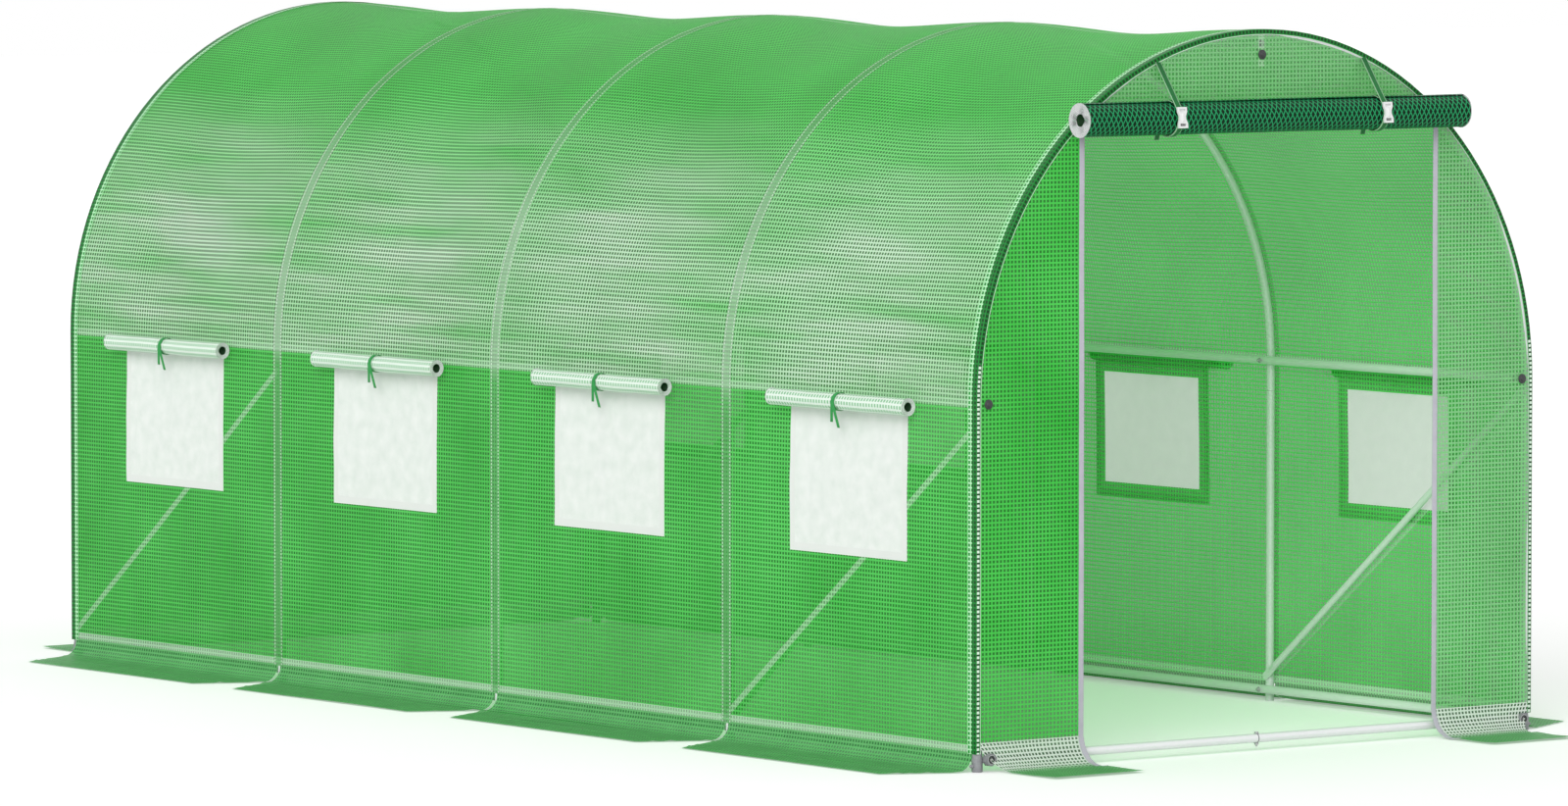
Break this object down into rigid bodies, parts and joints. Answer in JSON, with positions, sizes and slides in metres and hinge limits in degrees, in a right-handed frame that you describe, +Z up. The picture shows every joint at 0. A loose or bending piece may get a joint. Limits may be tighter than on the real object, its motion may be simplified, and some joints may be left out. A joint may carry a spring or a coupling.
{
  "type": "polytunnel greenhouse",
  "caption": "Walk-in polytunnel greenhouse with a tubular hooped frame, sheeted cover, mesh windows under rolled flaps and a rolled-up front door.",
  "frame": {"origin": "on the ground, in the middle under the tunnel and its skirts", "axes": "+Z up, +Y from the doorway to the back, along the tunnel, X across it"},
  "size_m": [2.4806, 5.0406, 2.0016],
  "materials": {
    "galvanised": "galvanised, satin",
    "cover": "translucent reinforced sheet with a fine grid",
    "skirt": "translucent reinforced sheet",
    "cover_rolled": "rolled reinforced sheet",
    "mesh": "fine woven net with a white hem",
    "tape": "woven binding tape",
    "webbing": "woven webbing",
    "buckle": "moulded, smooth"
  },
  "bodies": {
    "root": {"door_roll": "cover_rolled", "door_straps": "webbing", "door_tapes": "tape", "front_base_rail": "galvanised", "front_corner_brackets": "galvanised", "front_gable_sheet": "cover", "front_left_sheet": "cover", "front_right_sheet": "cover", "front_skirt": "skirt", "hoop_1_bow": "galvanised", "hoop_1_legs": "galvanised", "hoop_2_bow": "galvanised", "hoop_2_legs": "galvanised", "hoop_3_bow": "galvanised", "hoop_3_legs": "galvanised", "hoop_4_bow": "galvanised", "hoop_4_legs": "galvanised", "hoop_5_bow": "galvanised", "hoop_5_legs": "galvanised", "left_base_rail": "galvanised", "left_braces": "galvanised", "left_eaves_rail": "galvanised", "left_flap_ties": "webbing", "left_skirt": "skirt", "left_wall": "cover", "left_window_flaps": "cover_rolled", "left_window_screens": "mesh", "rear_base_rail": "galvanised", "rear_corner_brackets": "galvanised", "rear_sheet": "cover", "rear_skirt": "skirt", "ridge_rail": "galvanised", "right_base_rail": "galvanised", "right_braces": "galvanised", "right_eaves_rail": "galvanised", "right_flap_ties": "webbing", "right_skirt": "skirt", "right_wall": "cover", "right_window_flaps": "cover_rolled", "right_window_screens": "mesh", "roof_sheet": "cover", "strap_buckles": "buckle"}
  },
  "joints": []
}
